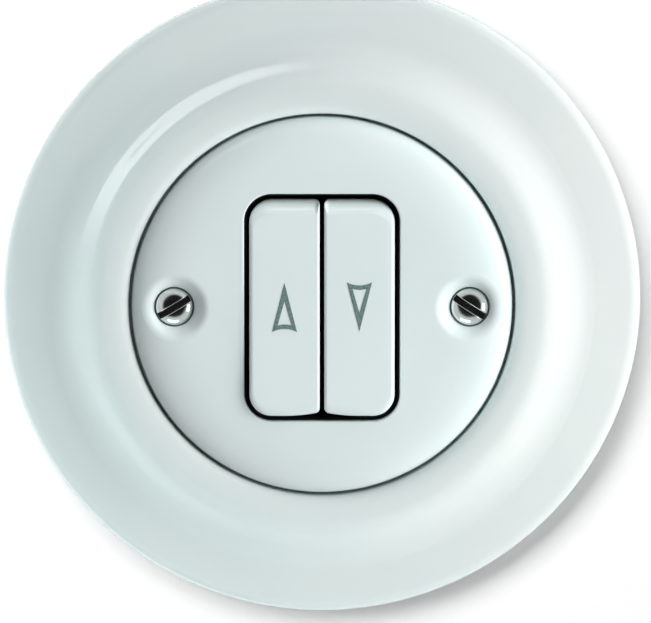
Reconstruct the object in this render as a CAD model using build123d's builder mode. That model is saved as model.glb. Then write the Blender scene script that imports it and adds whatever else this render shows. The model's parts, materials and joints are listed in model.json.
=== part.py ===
from build123d import *
import math
import os

os.makedirs("parts", exist_ok=True)

# Sizes in millimetres. The wall is the plane y = 0, the switch faces -Y,
# and a depth is a distance in front of the wall (behind it when negative).
FRAME_R = 50.0
PLATE_R = 29.7
PLATE_GAP = 0.45
OPENING_W = 24.2
OPENING_H = 35.8
HOUSING_W = 38.0
HOUSING_H = 44.0

# Turned section of the frame, as (radius, depth) from the rim to the bore
BORE_R = PLATE_R + PLATE_GAP
FOOT_EDGE = 0.6
RING_R = 37.0
RING_CLEARANCE = 1.5
FOOT_INNER_R = RING_R + RING_CLEARANCE
RIM_LEVEL = 2.2
CONE_OUTER = (FRAME_R - 1.8, 4.4)
CONE_INNER = (FRAME_R - 7.2, 5.25)
CROWN = (BORE_R + 3.25, 10.5)
SWELL_MID = ((CONE_INNER[0] + CROWN[0]) / 2, 7.75)
LIP_DEPTH = 8.7
LEDGE_FRONT = 6.5
LEDGE_BACK = 4.5
LEDGE_W = 2.2
LEDGE_INNER_R = PLATE_R - LEDGE_W

# Cover plate with the opening for the rockers
PLATE_EDGE_DEPTH = 8.5
PLATE_FRONT = 11.5
OPENING_R = 4.3
OPENING_EDGE = 0.25
OPENING_MARGIN = 0.45
OPENING_REACH = math.hypot(OPENING_W / 2 - OPENING_R, OPENING_H / 2 - OPENING_R) + OPENING_R
PLATE_FLAT_R = OPENING_REACH + OPENING_MARGIN

# Cover screws
SCREW_X = PLATE_R - 6.7
SCREW_SHANK_R = 1.5
SCREW_HOLE_R = 1.75
SCREW_HEAD_R = 2.9
SCREW_SEAT = 9.3
SCREW_RIM = 0.8
SCREW_DOME = 1.15
SCREW_SLOT_W = 1.0
SCREW_SLOT_DEPTH = 0.95
SCREW_END = -3.0
LEFT_SLOT_TURN = 31.0
RIGHT_SLOT_TURN = -33.0
COUNTERBORE_R = SCREW_HEAD_R + 0.25
DISH_EDGE = 10.1
DISH_R = 5.0
DISH_ROUND = 1.7
DISH_CUT = PLATE_FRONT + 1.0
DISH_FLARE = (DISH_R - COUNTERBORE_R) / (PLATE_FRONT - DISH_EDGE)
THREAD_FIT = 0.05

# Rockers, measured from their tilting axis
SIDE_CLEARANCE = 0.8
END_CLEARANCE = 1.0
MIDDLE_CLEARANCE = 0.7
CAP_W = (OPENING_W - 2 * SIDE_CLEARANCE - MIDDLE_CLEARANCE) / 2
CAP_H = OPENING_H - 2 * END_CLEARANCE
ROCKER_X = (CAP_W + MIDDLE_CLEARANCE) / 2
PIVOT_DEPTH = 7.0
REST_TILT = math.radians(3.0)
CAP_SHIFT = -0.2
CAP_CORNER_R = OPENING_R - SIDE_CLEARANCE
CAP_FACE = 5.2
CAP_CEILING = 2.6
CAP_BACK = -1.0
CAP_WALL = 1.7
CAP_ROUND = 1.35
CAP_INNER_ROUND = 0.75
PRINT_T = 0.05

# Arrow outline, about the middle of a rocker, tip up
ARROW_TIP = 3.8
ARROW_BASE = -3.9
ARROW_HALF_BASE = 1.96
ARROW_BASE_RISE = 0.5
ARROW_INNER_TIP = 0.9
ARROW_INNER_HALF_BASE = 1.07
ARROW_INNER_BASE = -2.85
ARROW_INNER_RISE = 0.15

# Carriers glued in the hollow of each rocker
GLUE_GAP = 0.1
CARRIER_BACK = 1.0
CARRIER_W = CAP_W - 2 * CAP_WALL - 2 * GLUE_GAP
CARRIER_H = CAP_H - 2 * CAP_WALL - 2 * GLUE_GAP
CHEEK_T = 1.4
CHEEK_R = 2.0
CHEEK_EDGE = 0.05
SIDE_GAP = 0.2
POST_W = CARRIER_W - 2 * CHEEK_T - 2 * SIDE_GAP - 2 * CHEEK_EDGE
POST_R = 1.8
POST_WINDOW_GAP = 0.6
PIN_R = 1.0
PIN_HOLD = 0.03
RUNNING_FIT = 0.05
PUSHER_W = 3.0
PUSHER_T = 2.2
PUSHER_LEVER_GAP = 0.12
PUSHER_PLAY = 0.5

# Return springs in front of the bearing plate, inside the rocker's lower end
RETURN_WIRE_R = 0.2
RETURN_COIL_R = 1.45
RETURN_TURNS = 5
RETURN_EDGE_GAP = 0.4
RETURN_Z = CAP_SHIFT - CAP_H / 2 + CAP_WALL + RETURN_EDGE_GAP + RETURN_WIRE_R + RETURN_COIL_R
RETURN_PUSHER_GAP = 1.9
PUSHER_Z = RETURN_Z + RETURN_COIL_R + RETURN_WIRE_R + RETURN_PUSHER_GAP + PUSHER_T / 2
SPRING_END_GAP = 0.08
BOSS_R = 0.95
BOSS_H = 0.8

# Bearing plate, support ring and housing stack
RING_T = 1.2
RING_WINDOW_W = HOUSING_W - 11.0
RING_WINDOW_H = HOUSING_H - 12.0
RING_WINDOW_R = 3.0
WALL_BOX_SPACING = 60.0
BOX_SLOT_R = 2.0
BOX_SLOT_LENGTH = 6.4
COLLAR_R = 2.5
COLLAR_H = 2.5
BEARING_T = 2.0
BEARING_FRONT = RING_T + BEARING_T
LINER_GAP = 0.05
LINER_T = 0.36
LINER_FRONT = 10.4
HOUSING_CORNER = 3.0
HOUSING_BACK = -22.0
HOUSING_WALL = 1.8
FLOOR_FRONT = -20.0
REAR_EDGE = 1.2
PANEL_MARGIN = 7.0
PANEL_W = HOUSING_W - 2 * PANEL_MARGIN
PANEL_H = 20.0
PANEL_Z = HOUSING_H / 2 - PANEL_MARGIN - PANEL_H / 2
PANEL_R = 1.5
PANEL_DEPTH = 0.5
STACK_SCREW_X = HOUSING_W / 2 - 3.0
STACK_SCREW_Z = HOUSING_H / 2 - 3.5
STACK_SCREW_R = 1.1
STACK_HOLE_R = 1.3
STACK_HEAD_R = 2.0
STACK_HEAD_H = 1.4
STACK_SCREW_END = -9.0
STACK_POST_R = 2.7
PUSHER_WINDOW_W = PUSHER_W + 2 * PUSHER_PLAY
PUSHER_SWING = (PIVOT_DEPTH - RING_T) * math.sin(REST_TILT)
PUSHER_WINDOW_H = PUSHER_T + 2 * PUSHER_SWING + 2 * PUSHER_PLAY

# Wire terminals, seated against the lower wall of the housing
TERMINAL_SPACE = 2.5
TERMINAL_POST_GAP = 1.05
TERMINAL_SPAN = STACK_SCREW_X - STACK_POST_R - TERMINAL_POST_GAP
TERMINAL_W = (TERMINAL_SPAN - TERMINAL_SPACE) * 2 / 3
TERMINAL_X = TERMINAL_W + TERMINAL_SPACE
TERMINAL_H = 6.0
TERMINAL_WALL_GAP = 0.6
TERMINAL_LOW = HOUSING_WALL + TERMINAL_WALL_GAP - HOUSING_H / 2
TERMINAL_HIGH = TERMINAL_LOW + TERMINAL_H
WIRE_W = 3.2
WIRE_H = 3.0
WIRE_Z = (TERMINAL_LOW + TERMINAL_HIGH) / 2
WIRE_STOP = -11.5
ENTRY_EDGE = 0.3
TERMINAL_SCREW_DEPTH = -15.5
TERMINAL_SCREW_R = 1.4
TERMINAL_HEAD_R = 2.0
TERMINAL_HEAD_H = 1.5
TERMINAL_SCREW_TIP = WIRE_Z - WIRE_H / 3
TERMINAL_SLOT_W = 0.7
DRIVER_HOLE_R = 2.4
RIB_T = 1.2
RIB_FRONT = -10.4

# Contact levers, with their tips clear of the terminals
STRIP_T = 0.8
STRIP_W = 3.0
STRIP_TERMINAL_GAP = 1.1
TIP_Z = -TERMINAL_HIGH - STRIP_W / 2 - STRIP_TERMINAL_GAP
TIP_R = 1.2
TIP_T = 0.7
TIP_GAP = 0.13
LEVER_DEPTH = -6.0
LEVER_T = 0.8
LEVER_W = 4.4
LEVER_HALF = TIP_Z + TIP_R
LEVER_HUB_R = 1.6
LEVER_PIN_R = 0.8
EAR_T = 0.8
EAR_GAP = 0.3
EAR_HALF = 1.7
EAR_R = 1.7
STRIP_FRONT = LEVER_DEPTH - LEVER_T / 2 - TIP_T - TIP_Z * math.sin(REST_TILT) - TIP_GAP - TIP_T
STRIP_BACK = STRIP_FRONT - STRIP_T
BRACKET_W = LEVER_W + 2 * EAR_GAP + 2 * EAR_T

# Contact springs behind the levers, between bracket and tip
CONTACT_Z = -(EAR_HALF + TIP_Z - STRIP_W / 2) / 2
CONTACT_SEAT = -13.0
CONTACT_WIRE_R = 0.2
CONTACT_COIL_R = 1.3
CONTACT_TURNS = 6

PUSHER_END = LEVER_DEPTH + LEVER_T / 2 + PUSHER_LEVER_GAP - PIVOT_DEPTH


def ring_point(radius, depth):
    """A point of a turned outline, by radius and depth."""
    return (radius, -depth)


# Plane of an outline turned from the top, so that its seam stays clear of the screw holes
TOP_SECTION = Plane(origin=(0, 0, 0), x_dir=(0, 0, 1), z_dir=(-1, 0, 0))


def front_plane(depth):
    """A plane that faces the user at this depth."""
    return Plane.XZ.offset(depth)


def tilted_plane(x, depth, rise):
    """A plane square to a rocker or lever at rest, at a rise above its tilting axis."""
    facing = (0, -math.cos(REST_TILT), math.sin(REST_TILT))
    return Plane(origin=(x, -depth, 0), x_dir=(1, 0, 0), z_dir=facing).offset(rise)


def side_plane(x, depth):
    """A plane across the tilting axis, with its first axis up and its second to the front."""
    return Plane(origin=(x, -depth, 0), x_dir=(0, 0, 1), z_dir=(1, 0, 0))


def tilted_side_plane(x, depth):
    """The same plane, turned with a rocker or lever at rest."""
    up = (0, math.sin(REST_TILT), math.cos(REST_TILT))
    return Plane(origin=(x, -depth, 0), x_dir=up, z_dir=(1, 0, 0))


def save(block, label):
    """Name a finished piece and write its file."""
    block.part.label = label
    export_step(block.part, "parts/" + label + ".step")


# Round porcelain frame: a turned section with a foot on the wall,
# a flat cone, a swelling ring and a ledge that carries the cover plate
with BuildPart() as frame:
    with BuildSketch(Plane.XY):
        with BuildLine():
            cone_run = (CONE_INNER[0] - CONE_OUTER[0], CONE_OUTER[1] - CONE_INNER[1])
            Polyline(
                ring_point(FOOT_INNER_R, 0),
                ring_point(FRAME_R - FOOT_EDGE, 0),
                ring_point(FRAME_R, FOOT_EDGE),
                ring_point(FRAME_R, RIM_LEVEL),
            )
            Spline(
                ring_point(FRAME_R, RIM_LEVEL),
                ring_point(*CONE_OUTER),
                tangents=((0, -1), cone_run),
            )
            Line(ring_point(*CONE_OUTER), ring_point(*CONE_INNER))
            Spline(
                ring_point(*CONE_INNER),
                ring_point(*SWELL_MID),
                ring_point(*CROWN),
                tangents=(cone_run, (-1, 0)),
            )
            Spline(
                ring_point(*CROWN),
                ring_point(BORE_R, LIP_DEPTH),
                tangents=((-1, 0), (0, 1)),
            )
            Polyline(
                ring_point(BORE_R, LIP_DEPTH),
                ring_point(BORE_R, LEDGE_FRONT),
                ring_point(LEDGE_INNER_R, LEDGE_FRONT),
                ring_point(LEDGE_INNER_R, LEDGE_BACK),
                ring_point(FOOT_INNER_R, LEDGE_BACK),
                ring_point(FOOT_INNER_R, 0),
            )
        make_face()
    revolve(axis=Axis.Y)
save(frame, "frame")

# Porcelain cover plate, flat at the back and rolled down to its edge in front,
# with the rocker opening and two dished screw holes
with BuildPart() as cover_plate:
    with BuildSketch(TOP_SECTION):
        with BuildLine():
            Polyline(
                ring_point(PLATE_FLAT_R, PLATE_FRONT),
                ring_point(0, PLATE_FRONT),
                ring_point(0, LEDGE_FRONT),
                ring_point(PLATE_R, LEDGE_FRONT),
                ring_point(PLATE_R, PLATE_EDGE_DEPTH),
            )
            Bezier(
                ring_point(PLATE_R, PLATE_EDGE_DEPTH),
                ring_point(PLATE_R, PLATE_FRONT),
                ring_point(PLATE_FLAT_R, PLATE_FRONT),
            )
        make_face()
    revolve(axis=Axis.Y)
    with BuildSketch(front_plane(LEDGE_FRONT)):
        RectangleRounded(OPENING_W, OPENING_H, OPENING_R)
        with Locations((-SCREW_X, 0), (SCREW_X, 0)):
            Circle(SCREW_HOLE_R)
    extrude(amount=PLATE_FRONT, mode=Mode.SUBTRACT)
    plate_front = cover_plate.faces().sort_by(Axis.Y)[0]
    fillet(plate_front.inner_wires().edges(), OPENING_EDGE)
    for screw_x in (-SCREW_X, SCREW_X):
        cut_r = COUNTERBORE_R + DISH_FLARE * (DISH_CUT - DISH_EDGE)
        with BuildSketch(Plane.XY):
            with BuildLine():
                Polyline(
                    (screw_x, -DISH_CUT),
                    (screw_x + cut_r, -DISH_CUT),
                    (screw_x + COUNTERBORE_R, -DISH_EDGE),
                    (screw_x + COUNTERBORE_R, -SCREW_SEAT),
                    (screw_x, -SCREW_SEAT),
                    close=True,
                )
            make_face()
        revolve(axis=Axis((screw_x, 0, 0), (0, 1, 0)), mode=Mode.SUBTRACT)
        dish_rim = (
            cover_plate.edges(Select.LAST)
            .filter_by_position(Axis.X, screw_x - DISH_R, screw_x + DISH_R)
            .filter_by_position(Axis.Y, -DISH_CUT, -DISH_EDGE - OPENING_EDGE)
            .filter_by(lambda edge: edge.length > 2 * (DISH_R - COUNTERBORE_R))
        )
        fillet(dish_rim, DISH_ROUND)
save(cover_plate, "cover_plate")

# Two slotted cover screws with domed heads
with BuildPart() as cover_screws:
    for screw_x in (-SCREW_X, SCREW_X):
        with BuildSketch(Plane.XY):
            with BuildLine():
                Polyline(
                    (screw_x, -SCREW_SEAT - SCREW_RIM - SCREW_DOME),
                    (screw_x, -SCREW_END),
                    (screw_x + SCREW_SHANK_R, -SCREW_END),
                    (screw_x + SCREW_SHANK_R, -SCREW_SEAT),
                    (screw_x + SCREW_HEAD_R, -SCREW_SEAT),
                    (screw_x + SCREW_HEAD_R, -SCREW_SEAT - SCREW_RIM),
                )
                Spline(
                    (screw_x + SCREW_HEAD_R, -SCREW_SEAT - SCREW_RIM),
                    (screw_x, -SCREW_SEAT - SCREW_RIM - SCREW_DOME),
                    tangents=((-0.3, -1), (-1, 0)),
                )
            make_face()
        revolve(axis=Axis((screw_x, 0, 0), (0, 1, 0)))
    with BuildSketch(front_plane(SCREW_SEAT + SCREW_RIM + SCREW_DOME - SCREW_SLOT_DEPTH)):
        for screw_x, turn in ((-SCREW_X, LEFT_SLOT_TURN), (SCREW_X, RIGHT_SLOT_TURN)):
            with Locations((screw_x, 0)):
                Rectangle(3 * SCREW_HEAD_R, SCREW_SLOT_W, rotation=turn)
    extrude(amount=2 * SCREW_DOME, mode=Mode.SUBTRACT)
save(cover_screws, "cover_screws")


def build_rocker(label, x, outward):
    """One porcelain rocker, hollow at the back; outward is the side its round corners face."""
    with BuildPart() as rocker:
        with BuildSketch(tilted_plane(x, PIVOT_DEPTH, CAP_BACK)) as plan:
            with Locations((0, CAP_SHIFT)):
                Rectangle(CAP_W, CAP_H)
            corners = plan.vertices().sort_by(Axis((0, 0, 0), (outward, 0, 0)))[-2:]
            fillet(corners, CAP_CORNER_R)
        extrude(amount=CAP_FACE - CAP_BACK)
        facing = Axis((x, 0, 0), tilted_plane(x, PIVOT_DEPTH, 0).z_dir)
        inward = Axis((x, 0, 0), (-outward, 0, 0))
        front_rim = rocker.faces().sort_by(facing)[-1].edges()
        fillet(front_rim.sort_by(inward)[:-1], CAP_ROUND)
        inner_rim = rocker.faces().sort_by(inward)[-1].edges()
        fillet(inner_rim.sort_by(facing)[1:], CAP_INNER_ROUND)
        with BuildSketch(tilted_plane(x, PIVOT_DEPTH, CAP_BACK)):
            with Locations((0, CAP_SHIFT)):
                RectangleRounded(CAP_W - 2 * CAP_WALL, CAP_H - 2 * CAP_WALL, CAP_WALL)
        extrude(amount=CAP_CEILING - CAP_BACK, mode=Mode.SUBTRACT)
    save(rocker, label)


def build_arrow(label, x, sense):
    """The arrow outline fired on a rocker; sense is 1 with its tip up and -1 with its tip down."""
    with BuildPart() as arrow:
        with BuildSketch(tilted_plane(x, PIVOT_DEPTH, CAP_FACE)):
            with BuildLine():
                Polyline(
                    (-ARROW_HALF_BASE, sense * ARROW_BASE),
                    (0, sense * ARROW_TIP),
                    (ARROW_HALF_BASE, sense * ARROW_BASE),
                )
                ThreePointArc(
                    (ARROW_HALF_BASE, sense * ARROW_BASE),
                    (0, sense * (ARROW_BASE + ARROW_BASE_RISE)),
                    (-ARROW_HALF_BASE, sense * ARROW_BASE),
                )
            make_face()
            with BuildLine():
                Polyline(
                    (-ARROW_INNER_HALF_BASE, sense * ARROW_INNER_BASE),
                    (0, sense * ARROW_INNER_TIP),
                    (ARROW_INNER_HALF_BASE, sense * ARROW_INNER_BASE),
                )
                ThreePointArc(
                    (ARROW_INNER_HALF_BASE, sense * ARROW_INNER_BASE),
                    (0, sense * (ARROW_INNER_BASE + ARROW_INNER_RISE)),
                    (-ARROW_INNER_HALF_BASE, sense * ARROW_INNER_BASE),
                )
            make_face(mode=Mode.SUBTRACT)
        extrude(amount=PRINT_T)
    save(arrow, label)


def build_carrier(label, x):
    """The moulded carrier of one rocker: plate, two pin cheeks and a pusher leg."""
    cheek_start = POST_W / 2 + SIDE_GAP
    with BuildPart() as carrier:
        with BuildSketch(tilted_plane(x, PIVOT_DEPTH, CARRIER_BACK)):
            with Locations((0, CAP_SHIFT)):
                RectangleRounded(CARRIER_W, CARRIER_H, CAP_WALL)
            Rectangle(2 * cheek_start, 2 * (POST_R + POST_WINDOW_GAP), mode=Mode.SUBTRACT)
        extrude(amount=CAP_CEILING - CARRIER_BACK)
        for cheek_x in (x - cheek_start - CHEEK_T, x + cheek_start):
            with BuildSketch(tilted_side_plane(cheek_x, PIVOT_DEPTH)):
                Circle(CHEEK_R)
                with Locations((0, CAP_CEILING / 2)):
                    Rectangle(2 * CHEEK_R, CAP_CEILING)
            extrude(amount=CHEEK_T)
        with BuildSketch(tilted_side_plane(x - CARRIER_W, PIVOT_DEPTH)):
            Circle(PIN_R + PIN_HOLD)
        extrude(amount=2 * CARRIER_W, mode=Mode.SUBTRACT)
        with BuildSketch(tilted_plane(x, PIVOT_DEPTH, PUSHER_END)):
            with Locations((0, PUSHER_Z)):
                Rectangle(PUSHER_W, PUSHER_T)
        extrude(amount=CARRIER_BACK - PUSHER_END)
        with BuildSketch(tilted_plane(x, PIVOT_DEPTH, CARRIER_BACK - BOSS_H)):
            with Locations((0, RETURN_Z)):
                Circle(BOSS_R)
        extrude(amount=BOSS_H)
    save(carrier, label)


def build_pin(label, x, depth, radius, length):
    """A plain round pin along the tilting axis."""
    with BuildPart() as pin:
        with BuildSketch(side_plane(x - length / 2, depth)):
            Circle(radius)
        extrude(amount=length)
    save(pin, label)


def build_coil(label, x, z, start, end, coil_r, wire_r, turns):
    """A coil spring that stands on one depth and reaches another."""
    height = end - start - 2 * wire_r
    with BuildPart() as coil:
        with BuildLine() as path:
            Helix(
                pitch=height / turns,
                height=height,
                radius=coil_r,
                center=(x, -start - wire_r, z),
                direction=(0, -1, 0),
            )
        with BuildSketch(Plane(origin=path.line @ 0, z_dir=path.line % 0)):
            Circle(wire_r)
        sweep(is_frenet=True)
    save(coil, label)


def build_lever(label, x):
    """A brass contact lever with a round hub for its pin."""
    with BuildPart() as lever:
        with BuildSketch(tilted_plane(x, LEVER_DEPTH, -LEVER_T / 2)):
            RectangleRounded(LEVER_W, 2 * LEVER_HALF, LEVER_T)
        extrude(amount=LEVER_T)
        with BuildSketch(tilted_side_plane(x - LEVER_W / 2, LEVER_DEPTH)):
            Circle(LEVER_HUB_R)
        extrude(amount=LEVER_W)
        with BuildSketch(tilted_side_plane(x - LEVER_W, LEVER_DEPTH)):
            Circle(LEVER_PIN_R + RUNNING_FIT)
        extrude(amount=2 * LEVER_W, mode=Mode.SUBTRACT)
    save(lever, label)


def build_lever_tips(label, x):
    """The two silver tips on the back of a lever."""
    with BuildPart() as tips:
        with BuildSketch(tilted_plane(x, LEVER_DEPTH, -LEVER_T / 2)):
            with Locations((0, TIP_Z), (0, -TIP_Z)):
                Circle(TIP_R)
        extrude(amount=-TIP_T)
    save(tips, label)


def lever_underside(z):
    """Depth of the back of a resting lever at this height."""
    return LEVER_DEPTH - LEVER_T / 2 / math.cos(REST_TILT) - z * math.tan(REST_TILT)


def carrier_underside(z):
    """Depth of the back of a resting carrier at this height."""
    return PIVOT_DEPTH + CARRIER_BACK / math.cos(REST_TILT) - z * math.tan(REST_TILT)


# The pieces that each rocker has: left for up, right for down
for name, x, outward, sense in (("up", -ROCKER_X, -1, 1), ("down", ROCKER_X, 1, -1)):
    build_rocker(name + "_rocker", x, outward)
    build_arrow(name + "_arrow_print", x, sense)
    build_carrier(name + "_carrier", x)
    build_pin(name + "_pivot_pin", x, PIVOT_DEPTH, PIN_R, CARRIER_W - 2 * GLUE_GAP)
    return_top = carrier_underside(RETURN_Z + RETURN_COIL_R) - SPRING_END_GAP
    build_coil(
        name + "_return_spring",
        x,
        RETURN_Z,
        BEARING_FRONT + SPRING_END_GAP,
        return_top,
        RETURN_COIL_R,
        RETURN_WIRE_R,
        RETURN_TURNS,
    )
    build_lever(name + "_lever", x)
    build_lever_tips(name + "_lever_tips", x)
    build_pin(name + "_lever_pin", x, LEVER_DEPTH, LEVER_PIN_R, BRACKET_W + 2 * EAR_GAP)
    contact_top = lever_underside(CONTACT_Z + CONTACT_COIL_R) - SPRING_END_GAP
    build_coil(
        name + "_contact_spring",
        x,
        CONTACT_Z,
        CONTACT_SEAT + SPRING_END_GAP,
        contact_top,
        CONTACT_COIL_R,
        CONTACT_WIRE_R,
        CONTACT_TURNS,
    )

STACK_SPOTS = [
    (side * STACK_SCREW_X, end * STACK_SCREW_Z) for side in (-1, 1) for end in (-1, 1)
]

# Dark moulded bearing plate with two posts, pusher windows, spring bosses and a thin liner round the rockers
with BuildPart() as bearing_plate:
    with BuildSketch(front_plane(RING_T)):
        RectangleRounded(HOUSING_W, HOUSING_H, HOUSING_CORNER)
        with Locations(*STACK_SPOTS):
            Circle(STACK_HOLE_R, mode=Mode.SUBTRACT)
        with Locations((-ROCKER_X, PUSHER_Z), (ROCKER_X, PUSHER_Z)):
            Rectangle(PUSHER_WINDOW_W, PUSHER_WINDOW_H, mode=Mode.SUBTRACT)
    extrude(amount=BEARING_T)
    with BuildSketch(front_plane(BEARING_FRONT)):
        liner_w = OPENING_W - 2 * LINER_GAP
        liner_h = OPENING_H - 2 * LINER_GAP
        liner_r = OPENING_R - LINER_GAP
        RectangleRounded(liner_w, liner_h, liner_r)
        RectangleRounded(
            liner_w - 2 * LINER_T, liner_h - 2 * LINER_T, liner_r - LINER_T, mode=Mode.SUBTRACT
        )
    extrude(amount=LINER_FRONT - BEARING_FRONT)
    for x in (-ROCKER_X, ROCKER_X):
        with BuildSketch(side_plane(x - POST_W / 2, PIVOT_DEPTH)):
            Circle(POST_R)
            with Locations((0, (RING_T - PIVOT_DEPTH) / 2)):
                Rectangle(2 * POST_R, PIVOT_DEPTH - RING_T)
        extrude(amount=POST_W)
        with BuildSketch(side_plane(x - POST_W, PIVOT_DEPTH)):
            Circle(PIN_R + RUNNING_FIT)
        extrude(amount=2 * POST_W, mode=Mode.SUBTRACT)
    with BuildSketch(front_plane(BEARING_FRONT)):
        with Locations((-ROCKER_X, RETURN_Z), (ROCKER_X, RETURN_Z)):
            Circle(BOSS_R)
    extrude(amount=BOSS_H)
save(bearing_plate, "bearing_plate")

# Steel support ring with box slots and tapped collars for the cover screws
with BuildPart() as support_ring:
    with BuildSketch(front_plane(0)):
        Circle(RING_R)
        RectangleRounded(RING_WINDOW_W, RING_WINDOW_H, RING_WINDOW_R, mode=Mode.SUBTRACT)
        with Locations((-WALL_BOX_SPACING / 2, 0), (WALL_BOX_SPACING / 2, 0)):
            SlotOverall(BOX_SLOT_LENGTH, 2 * BOX_SLOT_R, mode=Mode.SUBTRACT)
        with Locations((0, -WALL_BOX_SPACING / 2), (0, WALL_BOX_SPACING / 2)):
            SlotOverall(BOX_SLOT_LENGTH, 2 * BOX_SLOT_R, rotation=90, mode=Mode.SUBTRACT)
        with Locations(*STACK_SPOTS):
            Circle(STACK_HOLE_R, mode=Mode.SUBTRACT)
    extrude(amount=RING_T)
    with BuildSketch(front_plane(0)):
        with Locations((-SCREW_X, 0), (SCREW_X, 0)):
            Circle(COLLAR_R)
    extrude(amount=-COLLAR_H)
    with BuildSketch(front_plane(-COLLAR_H)):
        with Locations((-SCREW_X, 0), (SCREW_X, 0)):
            Circle(SCREW_SHANK_R + THREAD_FIT)
    extrude(amount=COLLAR_H + RING_T, mode=Mode.SUBTRACT)
save(support_ring, "support_ring")

# Moulded housing behind the ring, with screw posts, strip pedestals, ribs and wire entries
with BuildPart() as base_housing:
    with BuildSketch(front_plane(0)):
        RectangleRounded(HOUSING_W, HOUSING_H, HOUSING_CORNER)
    extrude(amount=HOUSING_BACK)
    fillet(base_housing.faces().sort_by(Axis.Y)[-1].edges(), REAR_EDGE)
    with BuildSketch(front_plane(HOUSING_BACK)):
        with Locations((0, PANEL_Z)):
            RectangleRounded(PANEL_W, PANEL_H, PANEL_R)
    extrude(amount=PANEL_DEPTH, mode=Mode.SUBTRACT)
    with BuildSketch(front_plane(0)):
        RectangleRounded(
            HOUSING_W - 2 * HOUSING_WALL,
            HOUSING_H - 2 * HOUSING_WALL,
            HOUSING_CORNER - HOUSING_WALL,
        )
    extrude(amount=FLOOR_FRONT, mode=Mode.SUBTRACT)
    inner_corner_z = HOUSING_H / 2 - HOUSING_WALL
    with BuildSketch(front_plane(FLOOR_FRONT)):
        with Locations(*STACK_SPOTS):
            Circle(STACK_POST_R)
        RectangleRounded(
            HOUSING_W - HOUSING_WALL,
            HOUSING_H - HOUSING_WALL,
            HOUSING_CORNER - HOUSING_WALL / 2,
            mode=Mode.INTERSECT,
        )
    extrude(amount=-FLOOR_FRONT)
    with BuildSketch(front_plane(FLOOR_FRONT)):
        with Locations((-ROCKER_X, 0), (ROCKER_X, 0)):
            Rectangle(BRACKET_W, 2 * EAR_HALF)
        with Locations(
            (-ROCKER_X, TIP_Z), (ROCKER_X, TIP_Z), (-ROCKER_X, -TIP_Z), (ROCKER_X, -TIP_Z)
        ):
            Rectangle(STRIP_W, STRIP_W)
    extrude(amount=STRIP_BACK - FLOOR_FRONT)
    with BuildSketch(front_plane(FLOOR_FRONT)):
        with Locations((-ROCKER_X, CONTACT_Z), (ROCKER_X, CONTACT_Z)):
            Circle(CONTACT_COIL_R + 3 * CONTACT_WIRE_R)
    extrude(amount=CONTACT_SEAT - FLOOR_FRONT)
    with BuildSketch(front_plane(FLOOR_FRONT)):
        rib_z = (TERMINAL_HIGH - inner_corner_z) / 2
        rib_h = TERMINAL_HIGH + inner_corner_z
        with Locations((-TERMINAL_X / 2, rib_z), (TERMINAL_X / 2, rib_z)):
            Rectangle(RIB_T, rib_h)
    extrude(amount=RIB_FRONT - FLOOR_FRONT)
    with BuildSketch(front_plane(STACK_SCREW_END)):
        with Locations(*STACK_SPOTS):
            Circle(STACK_SCREW_R + THREAD_FIT)
    extrude(amount=-STACK_SCREW_END, mode=Mode.SUBTRACT)
    with BuildSketch(front_plane(FLOOR_FRONT)):
        with Locations((-TERMINAL_X, WIRE_Z), (0, WIRE_Z), (TERMINAL_X, WIRE_Z)):
            Rectangle(WIRE_W + 2 * ENTRY_EDGE, WIRE_H + 2 * ENTRY_EDGE)
    extrude(amount=HOUSING_BACK - FLOOR_FRONT, mode=Mode.SUBTRACT)
    with BuildSketch(Plane.XY.offset(-HOUSING_H / 2)):
        for x in (-TERMINAL_X, 0, TERMINAL_X):
            with Locations((x, -TERMINAL_SCREW_DEPTH)):
                Circle(DRIVER_HOLE_R)
    extrude(amount=HOUSING_WALL, mode=Mode.SUBTRACT)
save(base_housing, "base_housing")

# Four screws that clamp the bearing plate and the housing on the ring
with BuildPart() as housing_screws:
    with BuildSketch(front_plane(BEARING_FRONT)):
        with Locations(*STACK_SPOTS):
            Circle(STACK_HEAD_R)
    extrude(amount=STACK_HEAD_H)
    chamfer(housing_screws.faces().sort_by(Axis.Y)[:4].edges(), STACK_HEAD_H / 4)
    with BuildSketch(front_plane(STACK_SCREW_END)):
        with Locations(*STACK_SPOTS):
            Circle(STACK_SCREW_R)
    extrude(amount=BEARING_FRONT - STACK_SCREW_END)
    with BuildSketch(front_plane(BEARING_FRONT + STACK_HEAD_H / 2)):
        with Locations(*STACK_SPOTS):
            Rectangle(3 * STACK_HEAD_R, STACK_HEAD_H / 2)
    extrude(amount=STACK_HEAD_H, mode=Mode.SUBTRACT)
save(housing_screws, "housing_screws")


def build_bracket_strip(label, x, runs):
    """A strip made of flat runs (middle x, middle z, width, height) with two ears for a lever pin at x."""
    ear_foot = LEVER_DEPTH - STRIP_BACK
    with BuildPart() as strip:
        with BuildSketch(front_plane(STRIP_BACK)):
            with Locations((x, 0)):
                Rectangle(BRACKET_W, 2 * EAR_HALF)
            for run_x, run_z, run_w, run_h in runs:
                with Locations((run_x, run_z)):
                    Rectangle(run_w, run_h)
        extrude(amount=STRIP_T)
        for ear_x in (x - BRACKET_W / 2, x + BRACKET_W / 2 - EAR_T):
            with BuildSketch(side_plane(ear_x, LEVER_DEPTH)):
                Circle(EAR_R)
                with Locations((0, -ear_foot / 2)):
                    Rectangle(2 * EAR_HALF, ear_foot)
            extrude(amount=EAR_T)
        with BuildSketch(side_plane(x - BRACKET_W, LEVER_DEPTH)):
            Circle(LEVER_PIN_R + PIN_HOLD)
        extrude(amount=2 * BRACKET_W, mode=Mode.SUBTRACT)
    save(strip, label)


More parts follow.
